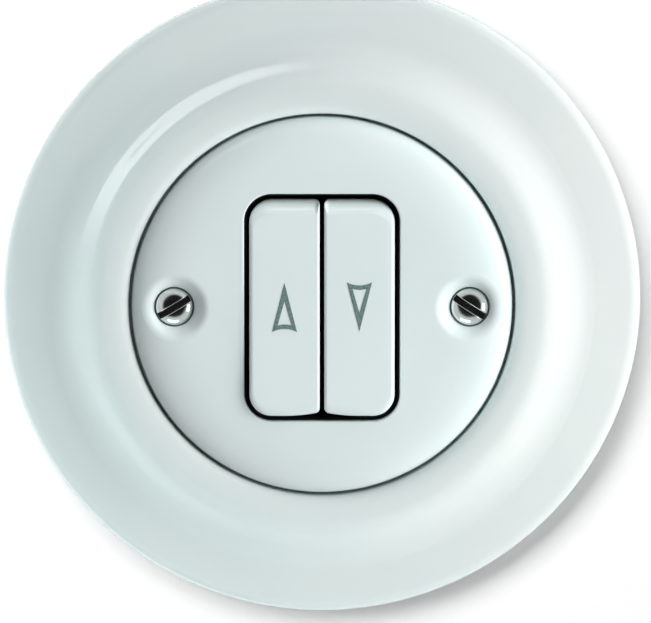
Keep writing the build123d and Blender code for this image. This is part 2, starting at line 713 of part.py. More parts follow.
# Line strip: bracket of the up lever, then across and down to the middle terminal
line_across = (STRIP_W / 4 - ROCKER_X / 2, 0, ROCKER_X + STRIP_W / 2, STRIP_W)
line_down = (0, (STRIP_W / 2 + TERMINAL_LOW) / 2, STRIP_W, STRIP_W / 2 - TERMINAL_LOW)
build_bracket_strip("line_contact", -ROCKER_X, [line_across, line_down])

# Link strip: both rest tips at the top, joined to the bracket of the down lever
link_across = (0, TIP_Z, 2 * ROCKER_X + STRIP_W, STRIP_W)
link_down = (ROCKER_X, TIP_Z / 2, STRIP_W, TIP_Z)
build_bracket_strip("link_contact", ROCKER_X, [link_across, link_down])


def build_output_strip(label, side):
    """The strip from a working tip to its terminal; side is -1 left and 1 right."""
    with BuildPart() as strip:
        with BuildSketch(front_plane(STRIP_BACK)):
            with Locations((side * (ROCKER_X + TERMINAL_X) / 2, -TIP_Z)):
                Rectangle(TERMINAL_X - ROCKER_X + STRIP_W, STRIP_W)
            with Locations((side * TERMINAL_X, (TERMINAL_LOW - TIP_Z + STRIP_W / 2) / 2)):
                Rectangle(STRIP_W, -TIP_Z + STRIP_W / 2 - TERMINAL_LOW)
        extrude(amount=STRIP_T)
    save(strip, label)


build_output_strip("up_contact", -1)
build_output_strip("down_contact", 1)

# Silver tips on the fixed strips
with BuildPart() as fixed_contact_tips:
    with BuildSketch(front_plane(STRIP_FRONT)):
        with Locations(
            (-ROCKER_X, TIP_Z), (ROCKER_X, TIP_Z), (-ROCKER_X, -TIP_Z), (ROCKER_X, -TIP_Z)
        ):
            Circle(TIP_R)
    extrude(amount=TIP_T)
save(fixed_contact_tips, "fixed_contact_tips")


def build_terminal(label, x):
    """A brass wire clamp with a square passage from the back and a screw hole from below."""
    with BuildPart() as block:
        with BuildSketch(front_plane(FLOOR_FRONT)):
            with Locations((x, WIRE_Z)):
                Rectangle(TERMINAL_W, TERMINAL_H)
        extrude(amount=STRIP_BACK - FLOOR_FRONT)
        with BuildSketch(front_plane(FLOOR_FRONT)):
            with Locations((x, WIRE_Z)):
                Rectangle(WIRE_W, WIRE_H)
        extrude(amount=WIRE_STOP - FLOOR_FRONT, mode=Mode.SUBTRACT)
        with BuildSketch(Plane.XY.offset(TERMINAL_LOW)):
            with Locations((x, -TERMINAL_SCREW_DEPTH)):
                Circle(TERMINAL_SCREW_R + THREAD_FIT)
        extrude(amount=WIRE_Z - TERMINAL_LOW, mode=Mode.SUBTRACT)
    save(block, label)


build_terminal("line_terminal_block", 0)
build_terminal("up_terminal_block", -TERMINAL_X)
build_terminal("down_terminal_block", TERMINAL_X)

# Three slotted terminal screws, entering from below
with BuildPart() as terminal_screws:
    head_start = -HOUSING_H / 2 + HOUSING_WALL / 6
    for x in (-TERMINAL_X, 0, TERMINAL_X):
        with BuildSketch(Plane.XY.offset(head_start)):
            with Locations((x, -TERMINAL_SCREW_DEPTH)):
                Circle(TERMINAL_HEAD_R)
        extrude(amount=TERMINAL_HEAD_H)
        with BuildSketch(Plane.XY.offset(head_start)):
            with Locations((x, -TERMINAL_SCREW_DEPTH)):
                Circle(TERMINAL_SCREW_R)
        extrude(amount=TERMINAL_SCREW_TIP - head_start)
        with BuildSketch(Plane.XY.offset(head_start)):
            with Locations((x, -TERMINAL_SCREW_DEPTH)):
                Rectangle(3 * TERMINAL_HEAD_R, TERMINAL_SLOT_W)
        extrude(amount=TERMINAL_HEAD_H / 2, mode=Mode.SUBTRACT)
save(terminal_screws, "terminal_screws")
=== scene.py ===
# %% [markdown]
# # A porcelain roller shutter switch
# This lesson dresses a finished switch: a round glazed frame on a wall, a cover plate held by two slotted
# screws, and a pair of white rockers with an arrow on each.
# The solid model comes first and stays where it is, so every new piece takes its place from it.

# %% Load the solid model
import json
import math

import bmesh
import bpy
from mathutils import Matrix, Vector


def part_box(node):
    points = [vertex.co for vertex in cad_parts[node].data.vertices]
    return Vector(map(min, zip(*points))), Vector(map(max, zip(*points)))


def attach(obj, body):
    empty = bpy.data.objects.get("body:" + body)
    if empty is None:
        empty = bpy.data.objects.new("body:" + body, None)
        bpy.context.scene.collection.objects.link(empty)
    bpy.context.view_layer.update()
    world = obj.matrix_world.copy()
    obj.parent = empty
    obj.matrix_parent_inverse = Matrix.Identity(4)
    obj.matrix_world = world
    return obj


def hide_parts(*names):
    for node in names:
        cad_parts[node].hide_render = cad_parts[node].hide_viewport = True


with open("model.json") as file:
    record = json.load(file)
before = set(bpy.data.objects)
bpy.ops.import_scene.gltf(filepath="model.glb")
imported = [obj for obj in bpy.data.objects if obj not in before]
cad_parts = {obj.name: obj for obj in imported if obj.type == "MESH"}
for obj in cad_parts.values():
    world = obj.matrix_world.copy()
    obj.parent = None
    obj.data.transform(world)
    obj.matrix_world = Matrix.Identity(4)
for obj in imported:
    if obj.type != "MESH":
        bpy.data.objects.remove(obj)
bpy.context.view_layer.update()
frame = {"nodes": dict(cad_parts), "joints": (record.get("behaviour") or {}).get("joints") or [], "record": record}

MM = 0.001
nodes = frame["nodes"]

# %% [markdown]
# ## Where the camera stands
# The round frame looks slightly flatter than a circle, so the camera stands a little above the switch and
# looks down on it. A wide lens close by would bend the circle, so a long lens far away is used instead.
# The lens follows from the scale: how many pixels of the picture one metre of the frame takes.

# %% Camera
IMAGE_WIDTH = 651
SENSOR = 36 * MM
CAMERA_RISE = math.radians(9.5)
CAMERA_DISTANCE = 0.9
CLIP_START = 10 * MM
PIXELS_PER_METRE = 6362.0
RIM_CENTRE = Vector((0.0, -1.6 * MM, 0.0))
AIM_RIGHT = 0.55 * MM
AIM_DOWN = 2.15 * MM

view_from = Vector((0.0, -math.cos(CAMERA_RISE), math.sin(CAMERA_RISE)))
image_up = Vector((0.0, math.sin(CAMERA_RISE), math.cos(CAMERA_RISE)))
aim = RIM_CENTRE + Vector((AIM_RIGHT, 0.0, 0.0)) - AIM_DOWN * image_up
camera_data = bpy.data.cameras.new("camera")
camera_data.sensor_width = SENSOR / MM
camera_data.lens = SENSOR / MM * PIXELS_PER_METRE * CAMERA_DISTANCE / IMAGE_WIDTH
camera_data.clip_start = CLIP_START
camera = bpy.data.objects.new("camera", camera_data)
camera.location = aim + CAMERA_DISTANCE * view_from
camera.rotation_euler = view_from.to_track_quat("Z", "Y").to_euler()
bpy.context.collection.objects.link(camera)
bpy.context.scene.camera = camera
print("lens", round(camera_data.lens, 1), "mm")

# %% [markdown]
# ## Wall and floor
# The switch hangs on a white wall, with its works behind it in the wall, and a pale floor lies below.
# A wall with a hole cut in it would hide the works from behind. A plain sheet that is clear when it is
# seen from the back shows both sides of the switch with one setting.

# %% Stage sheets
WALL_GAP = 0.3 * MM
WALL_HALF = 0.7
FLOOR_DROP = 0.3
FLOOR_HALF = 3.0


def stage_sheet(name, half, place, turn):
    mesh = bpy.data.meshes.new(name)
    corners = [(-half, -half, 0), (half, -half, 0), (half, half, 0), (-half, half, 0)]
    mesh.from_pydata(corners, [], [(0, 1, 2, 3)])
    sheet = bpy.data.objects.new(name, mesh)
    sheet.location = place
    sheet.rotation_euler = turn
    bpy.context.collection.objects.link(sheet)
    return sheet


wall = stage_sheet("wall", WALL_HALF, (0, WALL_GAP, WALL_HALF - FLOOR_DROP), (math.radians(90), 0, 0))
floor = stage_sheet("floor", FLOOR_HALF, (0, 0, -FLOOR_DROP), (0, 0, 0))
print("wall at", wall.location, "floor at", floor.location)

# %% [markdown]
# ## Nodes in one line
# Paints, lamps and finishes are all small trees of nodes. Written out, each node takes four or five lines,
# and they hide what the tree works out. Helpers that add one node and give back its results keep a tree as
# short as the sum that it stands for.

# %% Node helpers
def feed(tree, socket, value):
    """Link a socket to another node's result, or give it a number or colour of its own."""
    if isinstance(value, bpy.types.NodeSocket):
        tree.links.new(value, socket)
    else:
        socket.default_value = value


def add_node(tree, kind, feeds=None, **settings):
    """Add a node, feed its sockets by name or number, and give back its results."""
    node = tree.nodes.new(kind)
    for name, value in settings.items():
        setattr(node, name, value)
    for name, value in (feeds or {}).items():
        feed(tree, node.inputs[name], value)
    return node.outputs


def work_out(tree, operation, first, second=0.0):
    return add_node(tree, "ShaderNodeMath", {0: first, 1: second}, operation=operation)["Value"]


def map_range(tree, value, source, target=(0.0, 1.0), kind="LINEAR"):
    """Carry a value over from one range to another."""
    ends = dict(zip(("From Min", "From Max", "To Min", "To Max"), (*source, *target)))
    return add_node(tree, "ShaderNodeMapRange", {"Value": value, **ends}, interpolation_type=kind)["Result"]


def mix_colours(tree, share, first, second):
    feeds = {"Factor": share, "A": first, "B": second}
    return add_node(tree, "ShaderNodeMix", feeds, data_type="RGBA")["Result"]


def part_of(tree, vector, axis):
    return add_node(tree, "ShaderNodeSeparateXYZ", {"Vector": vector})[axis]


# %% [markdown]
# ## Wall and floor paint
# Both are matt paint. The wall sheet stands just behind the frame's foot, where it would keep all light off
# the frame's back, so it is also clear to a ray that sets out less than two millimetres away.
# The floor is pale. It shows a little lighter to the camera, without throwing that light on the switch.

# %% Paint
WALL_WHITE = (0.93, 0.93, 0.93, 1.0)
FLOOR_WHITE = (0.80, 0.80, 0.79, 1.0)
LIFT_WHITE = (1.0, 1.0, 1.0, 1.0)
FLOOR_LIFT = 0.3
PAINT_ROUGHNESS = 0.9
PAINT_GLOSS = 0.1
NEAR_WALL = 2.0 * MM


def painted(name, colour):
    paint = bpy.data.materials.new(name)
    paint.use_nodes = True
    shader = paint.node_tree.nodes["Principled BSDF"]
    shader.inputs["Base Color"].default_value = colour
    shader.inputs["Roughness"].default_value = PAINT_ROUGHNESS
    shader.inputs["Specular IOR Level"].default_value = PAINT_GLOSS
    return paint


def clear_from_behind(paint):
    """Make a paint clear from its back, and clear to rays that set out close to it."""
    tree = paint.node_tree
    ray_length = add_node(tree, "ShaderNodeLightPath")["Ray Length"]
    close_by = work_out(tree, "LESS_THAN", ray_length, NEAR_WALL)
    from_behind = add_node(tree, "ShaderNodeNewGeometry")["Backfacing"]
    clear_share = work_out(tree, "MAXIMUM", from_behind, close_by)
    matt = tree.nodes["Principled BSDF"].outputs["BSDF"]
    clear = add_node(tree, "ShaderNodeBsdfTransparent")["BSDF"]
    either = add_node(tree, "ShaderNodeMixShader", {"Fac": clear_share, 1: matt, 2: clear})["Shader"]
    feed(tree, tree.nodes["Material Output"].inputs["Surface"], either)


def lift_for_camera(paint, strength):
    """Show a paint lighter to the camera than to the things it lights."""
    tree = paint.node_tree
    to_camera = add_node(tree, "ShaderNodeLightPath")["Is Camera Ray"]
    shader = tree.nodes["Principled BSDF"]
    shader.inputs["Emission Color"].default_value = LIFT_WHITE
    feed(tree, shader.inputs["Emission Strength"], work_out(tree, "MULTIPLY", to_camera, strength))


wall_paint = painted("wall_paint", WALL_WHITE)
clear_from_behind(wall_paint)
wall.data.materials.append(wall_paint)
floor_paint = painted("floor_paint", FLOOR_WHITE)
lift_for_camera(floor_paint, FLOOR_LIFT)
floor.data.materials.append(floor_paint)
print("painted", wall.name, "and", floor.name)

# %% [markdown]
# ## Studio light
# The glaze is bright on slopes that face right and darker on the left, so the main soft boxes stand far
# round on the right. One set of lamps serves the frame and another the plate and its rockers, by light
# linking: with a single set the frame burns out before the plate has its shape.
# A far lamp lights both sides of the frame alike, so a warm box stands close by on the right, where its light
# falls off across the frame, and a cool one fills from the lower left. A long strip at the upper left, faded
# towards its ends, draws the highlight on the ring. Boxes for the wall alone lay the frame's soft shadow.
# Only the strips show in the glaze. The boxes are hidden from mirror rays, as they only fill.

# %% Lamp helpers
FRONT = Vector((0.0, -1.0, 0.0))
STUDIO = 0.9
WHITE = (1.0, 1.0, 1.0)
WARM = (1.0, 0.78, 0.75)
COOL = (0.88, 1.0, 1.0)


def softbox(name, azimuth, tilt, size, watts, distance=STUDIO, colour=WHITE, shows=False):
    """A soft box, placed by its angle round the switch from the right and its tilt away from the front.

    The size is its breadth away from the switch's axis and its length round that axis.
    """
    turn, lean = math.radians(azimuth), math.radians(tilt)
    outward = Vector((math.cos(turn), 0.0, math.sin(turn)))
    round_way = Vector((-math.sin(turn), 0.0, math.cos(turn)))
    away = math.sin(lean) * outward + math.cos(lean) * FRONT
    lamp = bpy.data.lights.new(name, "AREA")
    lamp.shape = "RECTANGLE"
    lamp.size, lamp.size_y = size
    lamp.energy = watts
    lamp.color = colour
    box = bpy.data.objects.new(name, lamp)
    box.location = distance * away
    box.rotation_euler = Matrix((round_way.cross(away), round_way, away)).transposed().to_euler()
    box.visible_glossy = shows
    bpy.context.collection.objects.link(box)
    return box


def link_light(boxes, receivers, state):
    """Let boxes light only these pieces, with INCLUDE, or all but these, with EXCLUDE."""
    for box in boxes:
        group = bpy.data.collections.new(box.name + "_receivers")
        for index, receiver in enumerate(receivers):
            group.objects.link(receiver)
            group.collection_objects[index].light_linking.link_state = state
        box.light_linking.receiver_collection = group


def fade_ends(box, even_share):
    """Let a strip fade along its length, outside its evenly bright middle share."""
    middle = 0.5
    box.data.use_nodes = True
    tree = box.data.node_tree
    along = part_of(tree, add_node(tree, "ShaderNodeNewGeometry")["Parametric"], "Y")
    from_middle = work_out(tree, "ABSOLUTE", work_out(tree, "SUBTRACT", along, middle))
    fade = map_range(tree, from_middle, (even_share * middle, middle), (1.0, 0.0), "SMOOTHSTEP")
    feed(tree, tree.nodes["Emission"].inputs["Strength"], fade)


# %% Lamps
STRIP_EVEN = 0.35

plate_lamps = [
    softbox("plate_right", azimuth=25, tilt=58, size=(0.5, 0.5), watts=6.6),
    softbox("plate_top", azimuth=90, tilt=75, size=(0.4, 0.6), watts=1.1),
    softbox("plate_low", azimuth=-30, tilt=60, size=(0.4, 0.4), watts=2.2, distance=0.5),
]
frame_lamps = [
    softbox("frame_right", azimuth=3, tilt=65, size=(0.5, 0.8), watts=6.3),
    softbox("frame_near", azimuth=0, tilt=55, size=(0.08, 0.28), watts=0.15, distance=0.18, colour=WARM),
    softbox("frame_top", azimuth=95, tilt=55, size=(0.5, 0.5), watts=0.85),
    softbox("frame_low", azimuth=230, tilt=65, size=(0.4, 0.4), watts=1.6, distance=0.4, colour=COOL),
]
frame_strip = softbox("frame_strip", azimuth=133, tilt=82, size=(0.12, 1.8), watts=3.0, shows=True)
fade_ends(frame_strip, STRIP_EVEN)
plate_strip = softbox("plate_strip", azimuth=126, tilt=54, size=(0.08, 0.42), watts=0.25, shows=True)
wall_lamps = [
    softbox("wall_main", azimuth=132, tilt=45, size=(0.45, 1.3), watts=11.4),
    softbox("wall_right", azimuth=35, tilt=44, size=(0.5, 0.5), watts=1.0),
    softbox("wall_low", azimuth=228, tilt=44, size=(0.5, 0.5), watts=1.1),
]
link_light(plate_lamps, [nodes["frame"], wall, floor], "EXCLUDE")
link_light(frame_lamps + [frame_strip], [nodes["frame"]], "INCLUDE")
link_light([plate_strip], [nodes["cover_plate"]], "INCLUDE")
link_light(wall_lamps, [wall], "INCLUDE")
print("lamps:", [box.name for box in plate_lamps + frame_lamps + [frame_strip, plate_strip] + wall_lamps])

# %% [markdown]
# ## The room
# A world colour that follows the angle away from the front fills the shadows softly from the sides.
# Polished screw heads show the room: dark straight in front, where the camera stands, and light all round
# it. That dark spot is small, so mirror rays get tones of their own. The camera sees a plain pale backdrop.

# %% Room brightness by angle
ROOM_TONES = ((0, 0.02), (50, 0.04), (62, 0.57), (90, 0.57), (110, 0.75), (180, 0.75))
MIRROR_TONES = ((0, 0.01), (30, 0.02), (40, 0.62), (90, 0.72), (180, 0.72))
BACKDROP_WHITE = (0.82, 0.82, 0.82, 1.0)

room = bpy.data.worlds.new("room")
bpy.context.scene.world = room
room.use_nodes = True
room_tree = room.node_tree
depth = part_of(room_tree, add_node(room_tree, "ShaderNodeTexCoord")["Generated"], "Y")
depth_share = map_range(room_tree, depth, (-1.0, 1.0))


def tones_by_angle(tones):
    """A ramp of grey tones, each at its angle in degrees away from the front."""
    ramp = room_tree.nodes.new("ShaderNodeValToRGB")
    stops = ramp.color_ramp.elements
    stops.remove(stops[-1])
    for index, (angle, tone) in enumerate(tones):
        position = (1 - math.cos(math.radians(angle))) / 2
        stop = stops[0] if index == 0 else stops.new(position)
        stop.position = position
        stop.color = (tone, tone, tone, 1.0)
    feed(room_tree, ramp.inputs["Fac"], depth_share)
    return ramp.outputs["Color"]


ray = add_node(room_tree, "ShaderNodeLightPath")
room_tone = tones_by_angle(ROOM_TONES)
mirror_tone = tones_by_angle(MIRROR_TONES)
around = mix_colours(room_tree, ray["Is Glossy Ray"], room_tone, mirror_tone)
seen = mix_colours(room_tree, ray["Is Camera Ray"], around, BACKDROP_WHITE)
feed(room_tree, room_tree.nodes["Background"].inputs["Color"], seen)
floor.visible_glossy = False
bpy.context.scene.view_settings.view_transform = "Standard"
print("room tones by angle:", ROOM_TONES)

# %% [markdown]
# ## Finishes: the shared base
# Every finish starts the same way: a soft cloud of noise, fixed to the object, slides between two tones,
# and the same cloud moves the roughness a little. A fine second noise gives the grain as bump.
# Each real material then differs only in its tones, the size of its clouds and the depth of its grain.

# %% A base for every finish
NOISE_DETAIL = 2.0
CLOUD_SPREAD = (0.3, 0.7)


def noise(tree, place, size):
    """Soft noise whose clouds have about this size, in metres."""
    feeds = {"Vector": place, "Scale": 1.0 / size, "Detail": NOISE_DETAIL}
    return add_node(tree, "ShaderNodeTexNoise", feeds)["Fac"]


def finish(name, tones, cloud_size, roughness, grain_size, grain_depth, metallic=0.0, gloss=0.5):
    """A finish from two tones, clouds and grain; sizes and depth are in metres."""
    look = bpy.data.materials.new(name)
    look.use_nodes = True
    tree = look.node_tree
    shader = tree.nodes["Principled BSDF"]
    shader.inputs["Metallic"].default_value = metallic
    shader.inputs["Specular IOR Level"].default_value = gloss
    place = add_node(tree, "ShaderNodeTexCoord")["Object"]
    clouds = noise(tree, place, cloud_size)
    first, second = [(*tone, 1.0) for tone in tones]
    tone = mix_colours(tree, map_range(tree, clouds, CLOUD_SPREAD), first, second)
    feed(tree, shader.inputs["Base Color"], tone)
    feed(tree, shader.inputs["Roughness"], map_range(tree, clouds, CLOUD_SPREAD, roughness))
    grain = {"Height": noise(tree, place, grain_size), "Strength": 1.0, "Distance": grain_depth}
    feed(tree, shader.inputs["Normal"], add_node(tree, "ShaderNodeBump", grain)["Normal"])
    return look


# %% [markdown]
# ## Porcelain glaze
# The glaze is a cold white with a breath of green, nearly level in tone, and mirror smooth. A paint colour
# alone would look like plastic, so the clouds are wide and faint, as where glaze lies thicker, and a long
# shallow wave of a few thousandths of a millimetre makes the highlights swim as they do on fired ware.
# The narrow gap round the plate is nearly black on the real switch. White walls that face each other keep
# too much light, so shade is painted into the glaze's colour where another wall is closer than a millimetre.

# %% Glaze
GLAZE_THIN = (0.668, 0.752, 0.748)
GLAZE_THICK = (0.648, 0.736, 0.738)
# Painted shade: the near-black colour laid on the glaze in narrow gaps.
GAP_SHADE_PAINT = (0.01, 0.012, 0.012, 1.0)
GAP_REACH = 0.9 * MM
GAP_OPENNESS = (0.05, 0.18)
GAP_FRONT = 3.0 * MM


def paint_gap_shade(look):
    """Paint shade into a finish's colour in narrow gaps of the switch's front."""
    tree = look.node_tree
    base = tree.nodes["Principled BSDF"].inputs["Base Color"]
    tone = base.links[0].from_socket
    openness = add_node(tree, "ShaderNodeAmbientOcclusion", {"Distance": GAP_REACH})["AO"]
    open_share = map_range(tree, openness, GAP_OPENNESS)
    depth = part_of(tree, add_node(tree, "ShaderNodeNewGeometry")["Position"], "Y")
    at_back = work_out(tree, "GREATER_THAN", depth, -GAP_FRONT)
    unshaded_share = work_out(tree, "MAXIMUM", open_share, at_back)
    # Painted shade: the colour goes near black where another wall is close by.
    feed(tree, base, mix_colours(tree, unshaded_share, GAP_SHADE_PAINT, tone))


porcelain_glaze = finish(
    "porcelain_glaze",
    tones=(GLAZE_THIN, GLAZE_THICK),
    cloud_size=18 * MM,
    roughness=(0.06, 0.10),
    grain_size=7 * MM,
    grain_depth=0.0045 * MM,
)
paint_gap_shade(porcelain_glaze)
print("glaze tones", GLAZE_THIN, GLAZE_THICK)

# %% [markdown]
# ## Fired arrows and plated screws
# The arrows are a grey-green enamel fired on the rockers: matter than the glaze, with a fine speckle.
# The screws are polished plate. Metal shows what stands around it, so its colour stays light, and the dark
# centre of each head comes from the dark spot in the room in front of it.

# %% Arrow enamel and screw plating
arrow_enamel = finish(
    "arrow_enamel",
    tones=((0.125, 0.195, 0.185), (0.155, 0.225, 0.213)),
    cloud_size=0.35 * MM,
    roughness=(0.22, 0.34),
    grain_size=0.12 * MM,
    grain_depth=0.002 * MM,
)
screw_plating = finish(
    "screw_plating",
    tones=((0.80, 0.86, 0.84), (0.71, 0.78, 0.76)),
    cloud_size=1.2 * MM,
    roughness=(0.07, 0.16),
    grain_size=0.25 * MM,
    grain_depth=0.003 * MM,
    metallic=1.0,
)
print("finishes:", arrow_enamel.name, screw_plating.name)

# %% [markdown]
# ## Moulded plastics behind the porcelain
# Three plastics carry the works: black for the bearing plate that shows as the dark gap round the rockers,
# ivory for the carriers inside the rockers and a warm grey for the housing in the wall. The bearing plate's
# black is set darker and duller than black plastic, as painted shade deep in that gap.
# Moulded faces have a fine spark-eroded grain, so their bump is small and even.

# %% Plastics
# Partly painted shade: far darker and duller than black plastic, so the gap round the rockers stays black.
dark_plastic = finish(
    "dark_plastic",
    tones=((0.003, 0.003, 0.0035), (0.005, 0.005, 0.0055)),
    cloud_size=3 * MM,
    roughness=(0.55, 0.68),
    grain_size=0.15 * MM,
    grain_depth=0.008 * MM,
    gloss=0.12,
)
carrier_plastic = finish(
    "carrier_plastic",
    tones=((0.72, 0.69, 0.60), (0.66, 0.63, 0.54)),
    cloud_size=6 * MM,
    roughness=(0.38, 0.5),
    grain_size=0.2 * MM,
    grain_depth=0.008 * MM,
)
housing_plastic = finish(
    "housing_plastic",
    tones=((0.56, 0.55, 0.52), (0.50, 0.49, 0.465)),
    cloud_size=9 * MM,
    roughness=(0.42, 0.56),
    grain_size=0.22 * MM,
    grain_depth=0.012 * MM,
)
print("plastics:", dark_plastic.name, carrier_plastic.name, housing_plastic.name)

# %% [markdown]
# ## Metals of the works
# The support ring is zinc-plated sheet, whose thin oxide turns from blue to straw. Pins and springs are
# plain steel, the terminals and levers brass with a brown breath of tarnish, the contact tips silver.

# %% Metals
zinc_steel = finish(
    "zinc_steel",
    tones=((0.60, 0.63, 0.67), (0.66, 0.64, 0.57)),
    cloud_size=5 * MM,
    roughness=(0.24, 0.40),
    grain_size=0.4 * MM,
    grain_depth=0.006 * MM,
    metallic=1.0,
)
pin_steel = finish(
    "pin_steel",
    tones=((0.58, 0.58, 0.58), (0.50, 0.50, 0.51)),
    cloud_size=1.5 * MM,
    roughness=(0.18, 0.3),
    grain_size=0.2 * MM,
    grain_depth=0.003 * MM,
    metallic=1.0,
)
spring_steel = finish(
    "spring_steel",
    tones=((0.46, 0.46, 0.47), (0.38, 0.37, 0.36)),
    cloud_size=1.0 * MM,
    roughness=(0.22, 0.36),
    grain_size=0.1 * MM,
    grain_depth=0.002 * MM,
    metallic=1.0,
)
brass = finish(
    "brass",
    tones=((0.74, 0.56, 0.26), (0.58, 0.41, 0.18)),
    cloud_size=3 * MM,
    roughness=(0.2, 0.36),
    grain_size=0.3 * MM,
    grain_depth=0.004 * MM,
    metallic=1.0,
)
silver_tip = finish(
    "silver_tip",
    tones=((0.86, 0.85, 0.81), (0.66, 0.64, 0.58)),
    cloud_size=0.8 * MM,
    roughness=(0.2, 0.34),
    grain_size=0.15 * MM,
    grain_depth=0.003 * MM,
    metallic=1.0,
)
print("metals:", [metal.name for metal in (zinc_steel, pin_steel, spring_steel, brass, silver_tip)])

# %% [markdown]
# ## Finishes on the solid pieces
# The frame, the plate, the arrows and all the works keep their solid shapes. Each solid piece has a slot in
# the record that says what it is made of, so its finish is looked up there and not set piece by piece.

# %% Put each finish on its solid pieces
finishes = {
    "porcelain": porcelain_glaze,
    "arrow_enamel": arrow_enamel,
    "plated_screw": screw_plating,
    "carrier_plastic": carrier_plastic,
    "dark_plastic": dark_plastic,
    "housing_plastic": housing_plastic,
    "zinc_steel": zinc_steel,
    "pin_steel": pin_steel,
    "spring_steel": spring_steel,
    "brass": brass,
    "silver_tip": silver_tip,
}
slot_of = {part["node"]: part["material_slot"] for part in frame["record"]["subparts"]}
for name, node in nodes.items():
    node.data.materials.clear()
    node.data.materials.append(finishes[slot_of[name]])
print("finished", len(nodes), "solid pieces")

# %% [markdown]
# ## Skins through a stack of loops
# The rockers and screws are closed skins. They could be carved from blocks with booleans, but those leave
# ragged edges in a highlight. A stack of loops with equal numbers of points keeps every face a clean quad,
# so the glaze and the plating reflect without ripples.

# %% Skin helpers
def skin_loops(mesh, loops):
    """Join equal loops of points into a closed skin; returns the rings of its vertices."""
    rings = [[mesh.verts.new(point) for point in loop] for loop in loops]
    count = len(rings[0])
    for low, high in zip(rings, rings[1:]):
        for i in range(count):
            j = (i + 1) % count
            mesh.faces.new((low[i], low[j], high[j], high[i]))
    mesh.faces.new(rings[0][::-1])
    mesh.faces.new(rings[-1])
    return rings


def sharpen(mesh, ring):
    for i, vertex in enumerate(ring):
        edge = mesh.edges.get((vertex, ring[i - 1]))
        edge.smooth = False


def finished_piece(name, mesh, look, body, replaced):
    bmesh.ops.recalc_face_normals(mesh, faces=mesh.faces)
    for face in mesh.faces:
        face.smooth = True
    data = bpy.data.meshes.new(name)
    mesh.to_mesh(data)
    mesh.free()
    data.materials.append(look)
    piece = bpy.data.objects.new(name, data)
    bpy.context.collection.objects.link(piece)
    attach(piece, body)
    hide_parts(replaced)
    print(name, "has", len(data.polygons), "faces")
    return piece


# %% [markdown]
# ## Rockers
# Each rocker is a hollow porcelain cap. Its top end rolls over in a wide soft shoulder, with a faint crease
# where the flat face starts, its long sides are rounded less, and its lower end is nearly sharp and slightly
# bowed. One bevel can't change along the rim, so the rim is lofted: an outer outline and an inset outline of
# the flat face have matching points, and quarter ellipses run from one to the other.

# %% Rocker sizes
ROCKER_TILT = math.radians(3.0)
ROCKER_SHIFT = -0.2 * MM
ROCKER_HALF_HEIGHT = 16.9 * MM
ROCKER_FACE = 5.2 * MM
ROCKER_BACK = -1.0 * MM
ROCKER_CEILING = 2.6 * MM
ROCKER_WALL = 1.7 * MM
BACK_EDGE = 0.2 * MM
LOWER_BOW = 0.55 * MM
CREASE = math.radians(40.0)
RIM_STEPS = 14

# Radii of the corners: inner top, outer top, outer bottom, inner bottom
OUTLINE_RADII = (0.8 * MM, 3.5 * MM, 3.4 * MM, 0.7 * MM)
FACE_RADII = (0.35 * MM, 2.6 * MM, 2.6 * MM, 0.35 * MM)
HOLLOW_RADII = (ROCKER_WALL,) * 4

# Width of the rounding on the face, and its depth
ROUND_WIDTH = {"inner": 0.5 * MM, "top": 2.2 * MM, "outer": 0.7 * MM, "bottom": 1.45 * MM}
ROUND_DEPTH = {"inner": 0.45 * MM, "top": 2.2 * MM, "outer": 0.6 * MM, "bottom": 0.6 * MM}
print("rockers", round(2 * ROCKER_HALF_HEIGHT / MM, 1), "mm long")

# %% Outlines of a rocker
ARC_STEPS = 10
SIDE_STEPS = 12


def rounded_outline(left, right, low, high, radii):
    """Points round a box with rounded corners, from its right side up, and the way out at each point."""
    turns = ((right, high), (left, high), (left, low), (right, low))
    arcs = []
    for index, (corner_x, corner_y) in enumerate(turns):
        radius = radii[index]
        side = Vector((1 if corner_x == right else -1, 1 if corner_y == high else -1))
        centre = Vector((corner_x, corner_y)) - radius * side
        angles = [math.radians(90 * (index + step / ARC_STEPS)) for step in range(ARC_STEPS + 1)]
        ways = [Vector((math.cos(angle), math.sin(angle))) for angle in angles]
        arcs.append([(centre + radius * way, way) for way in ways])
    outline = []
    for arc, following in zip(arcs, arcs[1:] + arcs[:1]):
        outline += arc
        start, way = arc[-1]
        end = following[0][0]
        outline += [(start.lerp(end, step / SIDE_STEPS), way) for step in range(1, SIDE_STEPS)]
    return outline


def by_side(values, way):
    """A value that changes smoothly from side to side, by the way out of the outline."""
    across = values["inner"] if way.x > 0 else values["outer"]
    along = values["top"] if way.y > 0 else values["bottom"]
    return across * way.x**2 + along * way.y**2


def bowed(point, half_width):
    """Lift the lower end of the outline towards the inner side, as a shallow bow."""
    if point.y > 0 or point.x < 0:
        return point
    lift = LOWER_BOW * (point.x / half_width) ** 2 * (-point.y / ROCKER_HALF_HEIGHT)
    return point + Vector((0, lift))


